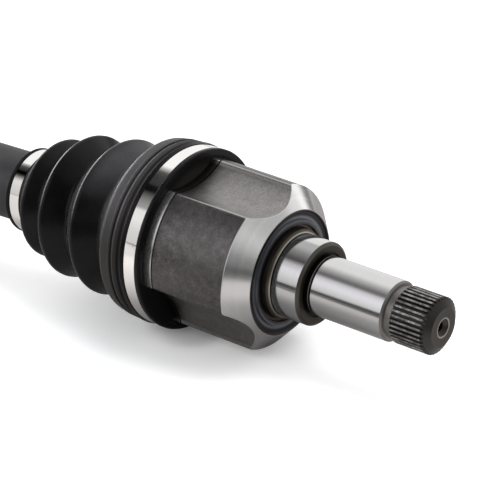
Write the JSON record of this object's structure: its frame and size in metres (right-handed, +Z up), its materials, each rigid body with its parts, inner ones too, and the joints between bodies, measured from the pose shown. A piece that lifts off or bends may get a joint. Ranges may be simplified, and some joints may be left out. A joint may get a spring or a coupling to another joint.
{
  "type": "drive shaft",
  "caption": "Front half-shaft with a tripod plunging joint at one end, a ball joint at the other, splined stubs, bellows boots and band clamps.",
  "frame": {"origin": "on the shaft axis, in the plane of the face that seats against the wheel bearing", "axes": "+X along the shaft towards the inboard stub, +Z up with the shaft lying level"},
  "size_m": [0.6659, 0.089, 0.0884],
  "materials": {
    "painted_tube": "satin",
    "forged_steel": "matte",
    "bell_steel": "matte",
    "bearing_steel": "polished",
    "cage_steel": "satin",
    "spider_steel": "satin",
    "spring_steel": "satin",
    "stainless_band": "polished",
    "boot_rubber": "matte",
    "bush_rubber": "matte"
  },
  "bodies": {
    "shaft": {"shaft_tube": "painted_tube", "tripod_spider": "spider_steel", "spider_circlip": "spring_steel", "inner_race": "bearing_steel", "race_circlip": "spring_steel", "inboard_small_clamp": "stainless_band", "outboard_small_clamp": "stainless_band"},
    "ball_cage_set": {"ball_cage": "cage_steel", "joint_balls": "bearing_steel"},
    "bell": {"outboard_bell": "bell_steel", "outboard_boot": "boot_rubber", "outboard_large_clamp": "stainless_band"},
    "upper_bearings": {"inner_ring_2": "bearing_steel", "needles_2": "bearing_steel", "inner_ring_3": "bearing_steel", "needles_3": "bearing_steel"},
    "lower_bearing": {"inner_ring_1": "bearing_steel", "needles_1": "bearing_steel"},
    "lower_roller": {"roller_1": "bearing_steel", "washers_1": "spring_steel"},
    "rear_roller": {"roller_2": "bearing_steel", "washers_2": "spring_steel"},
    "front_roller": {"roller_3": "bearing_steel", "washers_3": "spring_steel"},
    "tulip": {"tulip_housing": "forged_steel", "tulip_stop_ring": "spring_steel", "boot_bush": "bush_rubber", "inboard_boot": "boot_rubber", "inboard_large_clamp": "stainless_band"}
  },
  "joints": [
    {"name": "outboard_cage_tilt", "type": "hinge", "parent": "shaft", "child": "ball_cage_set", "pos_m": [0.05, 0, 0], "axis": [0, 1, 0], "range_deg": [-22, 22]},
    {"name": "outboard_tilt", "type": "hinge", "parent": "ball_cage_set", "child": "bell", "pos_m": [0.05, 0, 0], "axis": [0, 1, 0], "range_deg": [-22, 22], "deforming": ["outboard_boot"]},
    {"name": "inboard_tilt", "type": "hinge", "parent": "shaft", "child": "upper_bearings", "pos_m": [0.462, -0.00219, 0.0118], "axis": [0, 0.9833, 0.1822], "range_deg": [-17.7, 12.3], "deforming": ["inboard_boot"]},
    {"name": "inboard_plunge", "type": "slide", "parent": "upper_bearings", "child": "tulip", "axis": [0.9989, 0.0086, -0.0463], "range_m": [-0.0073, 0.0073], "deforming": ["inboard_boot"]},
    {"name": "lower_bearing_travel", "type": "slide", "parent": "upper_bearings", "child": "lower_bearing", "axis": [0.9989, 0.0086, -0.0463], "range_m": [-0.0112, 0.0078]},
    {"name": "lower_roller_spin", "type": "hinge", "parent": "lower_bearing", "child": "lower_roller", "pos_m": [0.462, 0.00438, -0.02364], "axis": [-0.0471, 0.182, -0.9822], "range_deg": [-26, 26]},
    {"name": "rear_roller_spin", "type": "hinge", "parent": "upper_bearings", "child": "rear_roller", "pos_m": [0.462, 0.01825, 0.01559], "axis": [0.0236, 0.7605, 0.6489], "range_deg": [-26, 26]},
    {"name": "front_roller_spin", "type": "hinge", "parent": "upper_bearings", "child": "front_roller", "pos_m": [0.462, -0.02262, 0.00801], "axis": [0.0236, -0.9425, 0.3333], "range_deg": [-26, 26]}
  ],
  "couplings": [
    {"joint": "outboard_cage_tilt", "follows": "outboard_tilt", "ratio": 1},
    {"joint": "lower_bearing_travel", "follows": "inboard_tilt", "m_per_rad": 0.035676},
    {"joint": "lower_roller_spin", "follows": "inboard_plunge", "rad_per_m": 58.824},
    {"joint": "rear_roller_spin", "follows": "inboard_plunge", "rad_per_m": 58.824},
    {"joint": "front_roller_spin", "follows": "inboard_plunge", "rad_per_m": 58.824}
  ]
}
